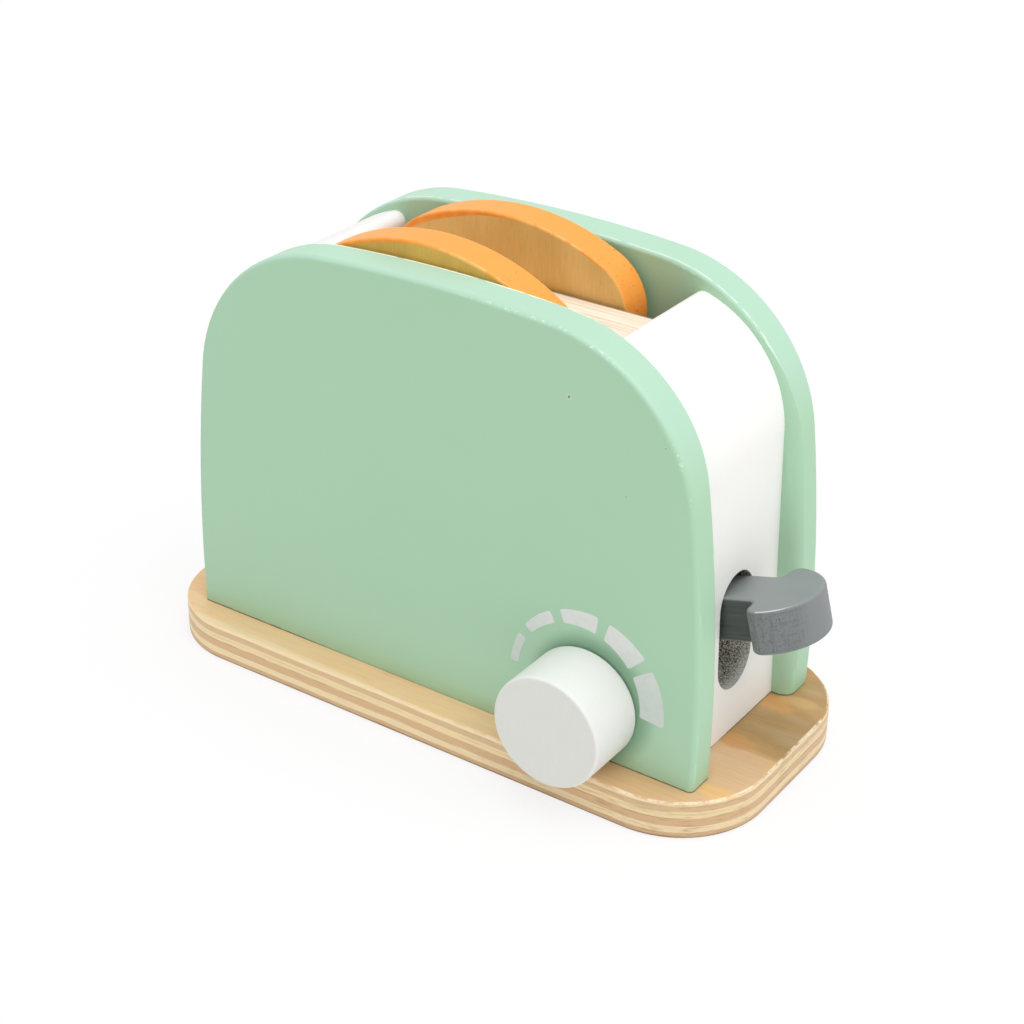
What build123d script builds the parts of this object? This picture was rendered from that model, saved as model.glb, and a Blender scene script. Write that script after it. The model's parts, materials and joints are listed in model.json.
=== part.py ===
from build123d import *
import os
from math import cos, radians, sin, sqrt, tan

# Wooden toy toaster. Millimetres, +Z up. The origin is the centre of the base board's underside.
# +X runs along the length towards the lever, -Y faces the side with the knob.

# ---- Driving dimensions ----------------------------------------------------------------

# Base board
base_length = 138.5
base_width = 60.5
base_thickness = 8.2
base_corner_radius = 19.3
base_edge_round = 0.7

# Side panels
total_height = 95.3             # to the middle of the panels' crowned top
front_panel_offset = 0.6        # the panels stand this far towards the lever from the board's centre
rear_panel_offset = 0.1
panel_foot_length = 120.2
panel_thickness = 8.0
panel_end_radius = 345.0        # the ends are slightly bowed
panel_end_flare = 1.6           # degrees that an end opens outwards at its foot
panel_corner_radius = 34.1
panel_crown_radius = 324.0
panel_outer_round = 1.1         # of the rim, on the outer face
panel_inner_round = 0.9         # of the rim, on the face towards the chamber
panel_end_round = 3.0           # the same at the ends; it fades out along the crown
panel_end_round_out = 0.12      # the larger rounding is set out past the ends
panel_end_round_up = 2.6        # and above the crown
panel_end_round_in = 0.05       # and into the chamber
chamber_width = 31.0            # clear width between the panels

# End blocks, between the panels
blocks_offset = -0.4            # the pair stands this far towards the lever from the board's centre
blocks_foot_length = 113.2      # over both blocks
block_thickness = 22.8          # at the foot
block_top_drop = 5.0            # below the top of the panels
block_lean = 1.8                # degrees
block_corner_radius = 25.2
block_mouth_round = 2.2         # upper inner edge, where the slices go in

# Slices, side by side in the two slots
slice_width = 55.2
slice_height = 59.3
slice_thickness = 7.5
slice_dome_radius = 48.0
front_slice_shoulder_radius = 3.0
rear_slice_shoulder_radius = 11.5
slice_foot_radius = 7.0
slice_edge_round = 0.5
slice_play = 0.5                # from each slice to the wall beside it
front_slice_gap = 0.3           # from the left end block
rear_slice_gap = 3.7

# Centre divider
divider_width = 11.5
divider_top_drop = 9.3          # below the top of the panels
divider_gap = 1.0               # from the raised tray to the divider's underside
divider_edge_round = 0.4

# Lifting tray and its rails
tray_above_pivot = 6.1          # from the pivot to the tray's underside
tray_thickness = 4.5
tray_end_gap = 0.3              # from the left end block
tray_overhang = 0.5             # past the slices at the lever's side
tray_side_gap = 0.35
rail_width = 3.0
rail_height = 4.0
seat_gap = 0.15                 # between loose pieces that rest on each other
rail_end_gap = 0.5              # from the rails to the spacers on the pivot pin

# Lever, a plywood see-saw on a steel pin
lever_thickness = 9.0
lever_neck_width = 10.8
lever_side_offset = -0.5        # the lever and its mortise stand this far towards the knob's side
lever_rest_tilt = 15.0          # degrees, outer end up
lever_pressed_tilt = 6.6        # degrees, outer end down
lever_tail = 5.0                # from the crossbar's middle to the inner end
lever_neck_showing = 6.2        # from the end block to the head, along the top of the neck
lever_head_radius = 10.3
lever_head_set_out = 0.5        # from the head's straight back edge to the centre of its round
lever_head_corner_radius = 2.2
lever_neck_fillet = 1.5
lever_inner_corner_radius = 2.0
lever_edge_round = 0.8

# Pivot
pivot_height = 28.4
pivot_set_in = 4.5              # from the right end block's inner face
pivot_pin_radius = 1.5
pivot_pin_seat = 5.0            # depth of the pin in each panel
pivot_running_gap = 0.06
spacer_radius = 4.0
spacer_end_gap = 0.1

# Crossbar on the lever's inner end
lift_bar_arm = 33.0             # from the pin to the bar, along the lever
lift_bar_crown_radius = 4.0
lift_bar_rail_gap = 1.0         # from the bar's ends to the rails
lift_gap = 0.45                 # from the bar's crown to the tray
peg_radius = 1.5
peg_spacing = 6.0
peg_depth = 6.0                 # in the crossbar
peg_recess = 0.4                # below the lever's underside
peg_fit = 0.03

# Mortise in the right end block, in which the neck moves
mortise_side_gap = 0.9
mortise_end_gap = 0.15

# Knob, with a spigot through the front panel
knob_radius = 11.5
knob_length = 13.6
knob_edge_round = 0.7
knob_set_in = 23.8              # from the panel's foot at the lever's side
knob_foot_gap = 0.3             # above the base board
knob_panel_gap = 0.3
spigot_radius = 4.0
spigot_running_gap = 0.1
spigot_end_play = 0.1
pocket_radius = 7.0
pocket_depth = 4.0
washer_radius = 6.0
washer_thickness = 1.0
knob_screw_radius = 1.75
knob_screw_length = 14.0
knob_screw_head_radius = 3.3
knob_screw_head_height = 2.2
screw_fit = 0.03

# Countersunk screws through the base board
base_screw_radius = 1.75
base_screw_head_radius = 3.5
base_screw_head_height = 2.2
base_screw_length = 25.0
base_screw_recess = 0.3
base_screw_spacing = 21.0       # across the board

# Dowels
panel_dowel_radius = 3.0
panel_dowel_seat = 5.0          # depth in the panel
panel_dowel_block_depth = 8.0
lower_dowel_height = 33.0
upper_dowel_drop = 27.3         # below the top of the panels
divider_dowel_radius = 2.5
divider_dowel_depth = 8.0       # in the block and in the divider
dowel_fit = 0.03

# ---- Places worked out from them -------------------------------------------------------

panel_outer_y = chamber_width / 2 + panel_thickness
block_top = total_height - block_top_drop
chamber_half = blocks_foot_length / 2 - block_thickness
chamber_left = blocks_offset - chamber_half
chamber_right = blocks_offset + chamber_half
block_middle = blocks_foot_length / 2 - block_thickness / 2

pivot_x = chamber_right - pivot_set_in

tray_underside_height = pivot_height + tray_above_pivot
tray_left = chamber_left + tray_end_gap
tray_right = chamber_left + max(front_slice_gap, rear_slice_gap) + slice_width + tray_overhang
tray_top = tray_underside_height + tray_thickness
rail_top = tray_underside_height - seat_gap
rail_right = min(tray_right, pivot_x - spacer_radius - rail_end_gap)

half_lever = lever_thickness / 2
rest = radians(lever_rest_tilt)
pressed = radians(lever_pressed_tilt)


def block_face_x(z):
    """Outer face of the right end block at height z."""
    return blocks_offset + blocks_foot_length / 2 - (z - base_thickness) * tan(radians(block_lean))


def neck_edge_height(tilt, side):
    """Height of the neck's upper (side 1) or lower (side -1) face where it leaves the end block."""
    face_x = block_face_x(pivot_height)
    return pivot_height + (face_x - pivot_x) * tan(tilt) + side * half_lever / cos(tilt)


# The crown of the crossbar is a cylinder, so its top is straight above the cylinder's centre.
crown_above_lever = (
    tray_underside_height - lift_gap - lift_bar_crown_radius - pivot_height + lift_bar_arm * sin(rest)
) / cos(rest)


def crown_height(tilt):
    """Top of the crossbar when the lever's outer end is tilted up by this angle."""
    rise = crown_above_lever * cos(tilt) - lift_bar_arm * sin(tilt)
    return pivot_height + rise + lift_bar_crown_radius


tray_lift = crown_height(-pressed) - crown_height(rest)
divider_underside = tray_top + tray_lift + divider_gap
divider_top = total_height - divider_top_drop
divider_middle = (divider_top + divider_underside) / 2

# The corners of the neck stop against the round ends of the mortise.
mortise_radius = lever_neck_width / 2 + mortise_side_gap
neck_corner_inset = lever_edge_round * (1 - sqrt(0.5))
neck_corner_y = lever_neck_width / 2 - neck_corner_inset
corner_to_centre = sqrt((mortise_radius - mortise_end_gap) ** 2 - neck_corner_y ** 2)
mortise_upper_centre = neck_edge_height(rest, 1) - neck_corner_inset - corner_to_centre
mortise_lower_centre = neck_edge_height(-pressed, -1) + neck_corner_inset + corner_to_centre

peg_places = (lever_side_offset - peg_spacing / 2, lever_side_offset + peg_spacing / 2)
head_back = (block_face_x(pivot_height) - pivot_x + half_lever * sin(rest)) / cos(rest) + lever_neck_showing

knob_x = front_panel_offset + panel_foot_length / 2 - knob_set_in
knob_z = base_thickness + knob_foot_gap + knob_radius
knob_back_y = -panel_outer_y - knob_panel_gap
spigot_end_y = -panel_outer_y + panel_thickness - pocket_depth + spigot_end_play

dowel_heights = (lower_dowel_height, total_height - upper_dowel_drop)


# ---- Helpers ---------------------------------------------------------------------------

def upright(sketch, front_y, back_y):
    """A board whose outline is drawn in X and Z, from front_y to back_y."""
    return extrude(Plane.XZ.offset(-back_y) * sketch, amount=back_y - front_y)


def box_between(low, high):
    """A box from its lowest to its highest corner."""
    size = [b - a for a, b in zip(low, high)]
    middle = [(a + b) / 2 for a, b in zip(low, high)]
    return Pos(*middle) * Box(*size)


def rod(radius, start, length, direction):
    """A round bar from start, along direction."""
    return extrude(Plane(origin=start, z_dir=direction) * Circle(radius), amount=length)


def panel_outline(foot=base_thickness, out=0.0, up=0.0):
    """A side panel seen from the front: bowed ends, large round upper corners and a crowned top.

    It starts at the height foot, and can be set out at both ends and up at the top.
    """
    height = total_height + up - foot
    outline = Pos(0, foot + height / 2) * Rectangle(2 * panel_foot_length, height)
    flare = radians(panel_end_flare)
    end_centre_x = panel_foot_length / 2 + out - panel_end_radius * cos(flare)
    end_centre_z = base_thickness + panel_end_radius * sin(flare)
    centres = [
        (end_centre_x, end_centre_z, panel_end_radius),
        (-end_centre_x, end_centre_z, panel_end_radius),
        (0, total_height + up - panel_crown_radius, panel_crown_radius),
    ]
    for x, z, radius in centres:
        # Turned so that the seam of the circle lies far below the outline.
        outline &= Pos(x, z) * Rot(0, 0, -90) * Circle(radius)
    return fillet(outline.vertices().group_by(Axis.Y)[-1], panel_corner_radius)


def blocks_outline():
    """Both end blocks and the chamber between them, seen from the front: leaning ends, round corners."""
    half_foot = blocks_foot_length / 2
    half_top = half_foot - (block_top - base_thickness) * tan(radians(block_lean))
    corners = [
        (-half_foot, base_thickness),
        (half_foot, base_thickness),
        (half_top, block_top),
        (-half_top, block_top),
    ]
    outline = make_face(Polyline(*corners, close=True))
    return fillet(outline.vertices().group_by(Axis.Y)[-1], block_corner_radius)


def on_lever(shape):
    """Places a shape drawn about the pivot, lying level, at the lever's rest tilt."""
    return Pos(pivot_x, 0, pivot_height) * Rot(0, -lever_rest_tilt, 0) * shape


def base_screw_places():
    """Places of the screws in X and Y."""
    return [
        (blocks_offset + end * block_middle, side * base_screw_spacing / 2)
        for end in (-1, 1)
        for side in (-1, 1)
    ]


# ---- Base and body ---------------------------------------------------------------------

def make_base_board():
    outline = RectangleRounded(base_length, base_width, base_corner_radius)
    board = extrude(outline, amount=base_thickness)
    rims = board.faces().filter_by(Axis.Z).edges()
    board = fillet(rims, base_edge_round)
    head_top = base_screw_recess + base_screw_head_height
    for x, y in base_screw_places():
        hole = rod(base_screw_radius + screw_fit, (x, y, 0), base_thickness, (0, 0, 1))
        entry = rod(base_screw_head_radius + screw_fit, (x, y, 0), base_screw_recess, (0, 0, 1))
        cone_height = head_top - base_screw_recess
        cone = Cone(base_screw_head_radius + screw_fit, base_screw_radius + screw_fit, cone_height)
        board -= hole + entry + Pos(x, y, base_screw_recess + cone_height / 2) * cone
    return board


def end_round_limit(side):
    """A body whose inner rim has the larger rounding; the panel is kept inside it."""
    inner_y = side * (chamber_width / 2 - panel_end_round_in)
    outer_y = side * (panel_outer_y + panel_end_round)
    outline = panel_outline(0, panel_end_round_out, panel_end_round_up)
    limit = upright(outline, min(inner_y, outer_y), max(inner_y, outer_y))
    face = limit.faces().filter_by(Axis.Y).sort_by(lambda f: abs(f.center().Y - inner_y))[0]
    return fillet(face.edges().filter_by(lambda edge: edge.center().Z > panel_end_round), panel_end_round)


def make_panel(side):
    """Side panel: side -1 is the front, 1 the rear. It has the blind holes of pin and dowels."""
    inner_y = side * chamber_width / 2
    outer_y = side * panel_outer_y
    offset = front_panel_offset if side < 0 else rear_panel_offset
    outline = Pos(offset, 0) * panel_outline()
    panel = upright(outline, min(inner_y, outer_y), max(inner_y, outer_y))
    for face_y, radius in ((outer_y, panel_outer_round), (inner_y, panel_inner_round)):
        face = panel.faces().filter_by(Axis.Y).sort_by(lambda f: abs(f.center().Y - face_y))[0]
        rim = face.edges().filter_by(lambda edge: edge.center().Z > base_thickness + radius)
        panel = fillet(rim, radius)
    panel &= Pos(offset, 0, 0) * end_round_limit(side)
    start_pin = (pivot_x, inner_y, pivot_height)
    panel -= rod(pivot_pin_radius + dowel_fit, start_pin, pivot_pin_seat, (0, side, 0))
    for end in (-1, 1):
        for height in dowel_heights:
            start = (blocks_offset + end * block_middle, inner_y, height)
            panel -= rod(panel_dowel_radius + dowel_fit, start, panel_dowel_seat, (0, side, 0))
    return panel


def make_front_panel():
    """Front panel, with the knob's bore and a pocket behind it for washer and screw head."""
    panel = make_panel(-1)
    outside = (knob_x, -panel_outer_y, knob_z)
    inside = (knob_x, -chamber_width / 2, knob_z)
    panel -= rod(spigot_radius + spigot_running_gap, outside, panel_thickness, (0, 1, 0))
    panel -= rod(pocket_radius, inside, pocket_depth, (0, -1, 0))
    return panel


def make_end_block(end):
    """End block: end -1 is the left, 1 the right. Screw and dowel holes, no mortise."""
    zone_length = blocks_foot_length / 2 - chamber_half
    zone = Pos(chamber_half + zone_length / 2, block_top / 2) * Rectangle(zone_length, block_top * 2)
    outline = blocks_outline() & zone
    mouth = outline.vertices().group_by(Axis.X)[0].sort_by(Axis.Y)[-1]
    outline = fillet(mouth, block_mouth_round)
    if end < 0:
        outline = mirror(outline, about=Plane.YZ)
    block = upright(Pos(blocks_offset, 0) * outline, -chamber_width / 2, chamber_width / 2)
    middle = blocks_offset + end * block_middle
    for x, y in base_screw_places():
        if abs(x - middle) < block_thickness / 2:
            depth = base_screw_recess + base_screw_length - base_thickness
            block -= rod(base_screw_radius + screw_fit, (x, y, base_thickness), depth, (0, 0, 1))
    for side in (-1, 1):
        for height in dowel_heights:
            start = (middle, side * chamber_width / 2, height)
            block -= rod(panel_dowel_radius + dowel_fit, start, panel_dowel_block_depth, (0, -side, 0))
    start = (blocks_offset + end * chamber_half, 0, divider_middle)
    block -= rod(divider_dowel_radius + dowel_fit, start, divider_dowel_depth, (end, 0, 0))
    return block


def make_right_end_block():
    """Right end block, with the round-ended mortise of the lever cut right through."""
    height = mortise_upper_centre - mortise_lower_centre + 2 * mortise_radius
    middle = (mortise_upper_centre + mortise_lower_centre) / 2
    outline = Pos(lever_side_offset, middle) * SlotOverall(height, 2 * mortise_radius, rotation=90)
    start = Plane.YZ.offset(chamber_right)
    return make_end_block(1) - extrude(start * outline, amount=block_thickness)


def make_centre_divider():
    """Batten between the end blocks, with a dowel hole in each end."""
    half = divider_width / 2
    batten = box_between((chamber_left, -half, divider_underside), (chamber_right, half, divider_top))
    batten = fillet(batten.edges().filter_by(Axis.X), divider_edge_round)
    for x, direction in ((chamber_left, 1), (chamber_right, -1)):
        start = (x, 0, divider_middle)
        batten -= rod(divider_dowel_radius + dowel_fit, start, divider_dowel_depth, (direction, 0, 0))
    return batten


def make_divider_dowels():
    """A dowel in each end of the divider, half in the end block."""
    dowels = []
    for x in (chamber_left, chamber_right):
        start = (x - divider_dowel_depth, 0, divider_middle)
        dowels.append(rod(divider_dowel_radius, start, 2 * divider_dowel_depth, (1, 0, 0)))
    return Compound(children=dowels)


def make_panel_dowels():
    """Eight dowels, from the panels into the end blocks."""
    dowels = []
    for end in (-1, 1):
        for side in (-1, 1):
            for height in dowel_heights:
                start_y = side * (chamber_width / 2 + panel_dowel_seat)
                start = (blocks_offset + end * block_middle, start_y, height)
                length = panel_dowel_seat + panel_dowel_block_depth
                dowels.append(rod(panel_dowel_radius, start, length, (0, -side, 0)))
    return Compound(children=dowels)


def make_base_screws():
    """Countersunk wood screws, from below through the board into the end blocks."""
    screws = []
    for x, y in base_screw_places():
        shank = rod(base_screw_radius, (x, y, base_screw_recess), base_screw_length, (0, 0, 1))
        head = Cone(base_screw_head_radius, base_screw_radius, base_screw_head_height)
        head_middle = base_screw_recess + base_screw_head_height / 2
        screws.append(shank + Pos(x, y, head_middle) * head)
    return Compound(children=screws)


def make_tray_rail(side):
    """Batten on the inner face of a panel, under the edge of the tray."""
    wall = chamber_width / 2
    ys = sorted((side * wall, side * (wall - rail_width)))
    low = (chamber_left, ys[0], rail_top - rail_height)
    high = (rail_right, ys[1], rail_top)
    return box_between(low, high)


# ---- Lever and its pivot ---------------------------------------------------------------

def make_pivot_pin():
    """Steel pin across the chamber, seated in both panels."""
    half = chamber_width / 2 + pivot_pin_seat
    return rod(pivot_pin_radius, (pivot_x, -half, pivot_height), 2 * half, (0, 1, 0))


def make_pivot_spacers():
    """Two tubes on the pin that keep the lever in its place."""
    spacers = []
    for side in (-1, 1):
        start_y = lever_side_offset + side * (lever_neck_width / 2 + spacer_end_gap)
        length = chamber_width / 2 - spacer_end_gap - abs(start_y)
        start = (pivot_x, start_y, pivot_height)
        tube = rod(spacer_radius, start, length, (0, side, 0))
        tube -= rod(pivot_pin_radius + pivot_running_gap, start, length, (0, side, 0))
        spacers.append(tube)
    return Compound(children=spacers)


def lever_outline():
    """Plan of the lever about its pin: straight neck, half-round head with a straight back."""
    inner_length = lift_bar_arm + lever_tail
    length = inner_length + head_back + lever_head_set_out
    neck = Pos(length / 2 - inner_length, 0) * Rectangle(length, lever_neck_width)
    neck = fillet(neck.vertices().group_by(Axis.X)[0], lever_inner_corner_radius)
    head = Pos(head_back + lever_head_set_out, 0) * Circle(lever_head_radius)
    behind = Pos(head_back - lever_head_radius, 0) * Rectangle(2 * lever_head_radius, 4 * lever_head_radius)
    head -= behind
    head = fillet(head.vertices().group_by(Axis.X)[0], lever_head_corner_radius)
    outline = neck + head
    inner_corners = outline.vertices().filter_by(
        lambda v: abs(v.X - head_back) < 0.01 and abs(abs(v.Y) - lever_neck_width / 2) < 0.01
    )
    return fillet(inner_corners, lever_neck_fillet)


def make_lever():
    """Plywood see-saw with softened edges, a cross bore and the holes of the pegs."""
    board = extrude(Pos(0, lever_side_offset, -half_lever) * lever_outline(), amount=lever_thickness)
    rims = board.faces().filter_by(Axis.Z).edges()
    board = fillet(rims, lever_edge_round)
    bore_start = (0, lever_side_offset - lever_neck_width, 0)
    board -= rod(pivot_pin_radius + pivot_running_gap, bore_start, 2 * lever_neck_width, (0, 1, 0))
    for y in peg_places:
        start = (-lift_bar_arm, y, -half_lever)
        board -= rod(peg_radius + peg_fit, start, lever_thickness, (0, 0, 1))
    return on_lever(board)


def make_lift_bar():
    """Crossbar with a round crown, which reaches under both slices between the rails."""
    half_length = chamber_width / 2 - rail_width - lift_bar_rail_gap
    column = Pos(0, crown_above_lever / 2) * Rectangle(2 * lift_bar_crown_radius, crown_above_lever)
    section = column + Pos(0, crown_above_lever) * Circle(lift_bar_crown_radius)
    height = crown_above_lever + lift_bar_crown_radius - half_lever
    section &= Pos(0, half_lever + height / 2) * Rectangle(2 * lift_bar_crown_radius, height)
    bar = upright(Pos(-lift_bar_arm, 0) * section, -half_length, half_length)
    for y in peg_places:
        bar -= rod(peg_radius + peg_fit, (-lift_bar_arm, y, half_lever), peg_depth, (0, 0, 1))
    return on_lever(bar)


def make_lift_bar_pegs():
    """Two pegs through the lever into the crossbar."""
    length = lever_thickness + peg_depth - peg_recess - seat_gap
    pegs = []
    for y in peg_places:
        start = (-lift_bar_arm, y, -half_lever + peg_recess)
        pegs.append(on_lever(rod(peg_radius, start, length, (0, 0, 1))))
    return Compound(children=pegs)


# ---- Tray and slices -------------------------------------------------------------------

def make_toast_tray():
    """Loose board on the rails, which the crossbar lifts."""
    half = chamber_width / 2 - tray_side_gap
    low = (tray_left, -half, tray_underside_height)
    high = (tray_right, half, tray_top)
    return box_between(low, high)


def slice_outline(shoulder_radius):
    """Slice seen from the side: domed top, round shoulders, straight sides, round foot corners."""
    half = slice_width / 2
    foot = tray_top + seat_gap
    crown = foot + slice_height
    shoulder = crown - slice_dome_radius + sqrt(slice_dome_radius ** 2 - half ** 2)
    edges = [
        Line((-half, foot), (half, foot)),
        Line((half, foot), (half, shoulder)),
        ThreePointArc((half, shoulder), (0, crown), (-half, shoulder)),
        Line((-half, shoulder), (-half, foot)),
    ]
    outline = make_face(edges)
    by_height = outline.vertices().group_by(Axis.Y)
    outline = fillet(by_height[-1], shoulder_radius)
    return fillet(outline.vertices().group_by(Axis.Y)[0], slice_foot_radius)


def make_slice(end_gap, front_y, shoulder_radius):
    """One slice, this far from the left end block and from front_y backwards."""
    middle = chamber_left + end_gap + slice_width / 2
    bread = upright(Pos(middle, 0) * slice_outline(shoulder_radius), front_y, front_y + slice_thickness)
    rims = bread.faces().filter_by(Axis.Y).edges()
    return fillet(rims, slice_edge_round)


def make_toast_front():
    return make_slice(front_slice_gap, -chamber_width / 2 + slice_play, front_slice_shoulder_radius)


def make_toast_rear():
    return make_slice(rear_slice_gap, divider_width / 2 + slice_play, rear_slice_shoulder_radius)


# ---- Knob ------------------------------------------------------------------------------

def make_knob():
    """Turned knob with a spigot through the panel and a screw hole up its middle."""
    front_y = knob_back_y - knob_length
    body = rod(knob_radius, (knob_x, knob_back_y, knob_z), knob_length, (0, -1, 0))
    rim = body.edges().filter_by(GeomType.CIRCLE)
    body = fillet(rim, knob_edge_round)
    start = (knob_x, knob_back_y - knob_edge_round, knob_z)
    body += rod(spigot_radius, start, spigot_end_y - start[1], (0, 1, 0))
    depth = min(knob_screw_length, spigot_end_y - front_y - knob_edge_round)
    end = (knob_x, spigot_end_y, knob_z)
    return body - rod(knob_screw_radius + screw_fit, end, depth, (0, -1, 0))


def make_knob_washer():
    """Washer behind the spigot, wider than the bore."""
    start = (knob_x, spigot_end_y, knob_z)
    disc = rod(washer_radius, start, washer_thickness, (0, 1, 0))
    return disc - rod(knob_screw_radius + screw_fit, start, washer_thickness, (0, 1, 0))


def make_knob_screw():
    """Screw from behind, through the washer into the knob."""
    seat_y = spigot_end_y + washer_thickness
    start = (knob_x, seat_y, knob_z)
    shank = rod(knob_screw_radius, start, knob_screw_length, (0, -1, 0))
    head = rod(knob_screw_head_radius, start, knob_screw_head_height, (0, 1, 0))
    head = fillet(head.edges().sort_by(Axis.Y)[-1], knob_screw_head_height / 3)
    return shank + head


# ---- Writing ---------------------------------------------------------------------------

parts = {
    "base_board": make_base_board(),
    "front_panel": make_front_panel(),
    "rear_panel": make_panel(1),
    "left_end_block": make_end_block(-1),
    "right_end_block": make_right_end_block(),
    "centre_divider": make_centre_divider(),
    "divider_dowels": make_divider_dowels(),
    "panel_dowels": make_panel_dowels(),
    "base_screws": make_base_screws(),
    "front_tray_rail": make_tray_rail(-1),
    "rear_tray_rail": make_tray_rail(1),
    "pivot_pin": make_pivot_pin(),
    "pivot_spacers": make_pivot_spacers(),
    "lever": make_lever(),
    "lift_bar": make_lift_bar(),
    "lift_bar_pegs": make_lift_bar_pegs(),
    "toast_tray": make_toast_tray(),
    "toast_front": make_toast_front(),
    "toast_rear": make_toast_rear(),
    "knob": make_knob(),
    "knob_washer": make_knob_washer(),
    "knob_screw": make_knob_screw(),
}

os.makedirs("parts", exist_ok=True)
for name, shape in parts.items():
    export_step(shape, f"parts/{name}.step")

print(f"pivot at x {pivot_x:.2f}, z {pivot_height:.2f}")
print(f"tray lift {tray_lift:.3f} for {lever_rest_tilt + lever_pressed_tilt:.2f} degrees of lever")
print(f"knob axis at x {knob_x:.2f}, z {knob_z:.2f}")
print(f"mortise centres at z {mortise_lower_centre:.2f} and {mortise_upper_centre:.2f}")
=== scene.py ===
# %% [markdown]
# # A wooden toy toaster, from bare solids to paint and grain
# The solids of the toy come from a CAD model, each at its real size and in its real place. This script never
# moves a solid. It paints them as the real toy is painted, adds the printed dial and threaded screws, and
# then lights the toy and looks at it.
#
# +X points towards the lever, -Y out of the panel with the knob, and +Z up. Blender counts in metres, but a
# toy this small is easier to think of in millimetres, so every size below is in millimetres.

# %% Load the solids
import json
import math

import bpy
from mathutils import Matrix, Quaternion, Vector


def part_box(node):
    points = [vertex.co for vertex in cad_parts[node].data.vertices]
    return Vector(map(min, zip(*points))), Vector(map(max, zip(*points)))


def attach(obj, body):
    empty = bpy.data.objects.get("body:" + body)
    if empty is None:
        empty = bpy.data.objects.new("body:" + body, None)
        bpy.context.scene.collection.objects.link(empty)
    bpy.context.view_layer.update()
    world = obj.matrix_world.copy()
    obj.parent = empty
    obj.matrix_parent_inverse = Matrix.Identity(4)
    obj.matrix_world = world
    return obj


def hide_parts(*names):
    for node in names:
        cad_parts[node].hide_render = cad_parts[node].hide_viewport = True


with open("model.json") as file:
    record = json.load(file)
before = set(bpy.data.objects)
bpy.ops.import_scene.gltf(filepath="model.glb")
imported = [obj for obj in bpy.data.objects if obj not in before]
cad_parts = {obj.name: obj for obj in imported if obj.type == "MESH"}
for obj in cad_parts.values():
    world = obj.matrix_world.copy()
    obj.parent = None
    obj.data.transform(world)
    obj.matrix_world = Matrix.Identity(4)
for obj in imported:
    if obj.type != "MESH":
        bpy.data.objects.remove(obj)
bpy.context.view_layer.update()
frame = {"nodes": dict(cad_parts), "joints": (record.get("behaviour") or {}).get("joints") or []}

print("solids:", ", ".join(sorted(frame["nodes"])))


# %% [markdown]
# ## Measures
# The frame knows how large each solid is and where each joint turns, so the script asks for places instead
# of repeating them. What it can't tell, such as where the mortise's round ends lie, is a named value here.

# %% Measures of the toy
METRES = 0.001


def corners(node):
    """Lowest and highest corner of a solid, in millimetres."""
    return [Vector(corner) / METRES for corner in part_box(node)]


base_low, base_high = corners("base_board")
front_low, front_high = corners("front_panel")
knob_low, knob_high = corners("knob")
block_high = corners("right_end_block")[1]
divider_high = corners("centre_divider")[1]

board_top = base_high.z
panel_face_y = front_low.y
knob_x = (knob_low.x + knob_high.x) / 2
knob_z = (knob_low.z + knob_high.z) / 2
knob_radius = (knob_high.x - knob_low.x) / 2

# the lever's pin, its tilt at rest, and how far from the pin its head starts
joints = {joint["name"]: joint for joint in frame["joints"]}
pivot = Vector(joints["lever_rock"]["pos_m"]) / METRES
lever_tilt = math.radians(15)
head_back = 35.0

# the mortise's middle line, the centres of its round ends, and how far the end blocks lean in
mortise_y, mortise_radius = -0.5, 6.3
mortise_low_centre, mortise_high_centre = 24.36, 36.63
block_lean = math.radians(1.8)

print(f"knob axis at x {knob_x:.2f}, z {knob_z:.2f}; front face at y {panel_face_y:.2f}")


# %% [markdown]
# ## A colour as the eye reads it
# A display value of 128 isn't half as bright as 255: screens store colours on a curve, and Blender's
# sockets want the straight, linear values. One helper turns the one into the other.

# %% Display colours to linear ones
def tint(red, green, blue):
    """A colour from three display values of 0 to 255, as a socket takes it."""
    def linear(value):
        share = value / 255
        return share / 12.92 if share <= 0.04045 else ((share + 0.055) / 1.055) ** 2.4
    return (linear(red), linear(green), linear(blue), 1.0)


print(f"a display value of 128 is {tint(128, 128, 128)[0]:.3f} of full brightness")


# %% [markdown]
# ## Sums instead of spaghetti
# A shader is a tree of nodes, and wiring it by hand hides the idea in the plumbing. A `Wire` wraps the
# output of a node and knows Python's operators, so `1 - mask * 0.3` adds its own Math nodes and reads like
# the sum it is.

# %% A wire that can be added and multiplied
def operator(operation, reflected=False):
    """A method that adds one Math node. The reflected one has its wire on the right, as in 1 - mask."""
    def method(wire, other):
        values = (other, wire) if reflected else (wire, other)
        return wire.graph.math(operation, *values)
    return method


class Wire:
    """A node's output that takes part in sums."""

    def __init__(self, graph, socket):
        self.graph = graph
        self.socket = socket

    def __getitem__(self, output):
        """Another output of the same node."""
        return Wire(self.graph, self.socket.node.outputs[output])

    def __abs__(self):
        return self.graph.math("ABSOLUTE", self)

    __add__, __radd__ = operator("ADD"), operator("ADD", reflected=True)
    __sub__, __rsub__ = operator("SUBTRACT"), operator("SUBTRACT", reflected=True)
    __mul__, __rmul__ = operator("MULTIPLY"), operator("MULTIPLY", reflected=True)
    __truediv__, __rtruediv__ = operator("DIVIDE"), operator("DIVIDE", reflected=True)
    __pow__ = operator("POWER")


# %% [markdown]
# ## One way to add a node
# Every node that isn't a sum comes from `Graph.add`, which takes its type, its settings, and then the
# values or wires of its sockets. Settings come first, because some of them decide which sockets there are.
# A node that is wanted often, such as a smooth step, gets a short method of its own.

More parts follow.
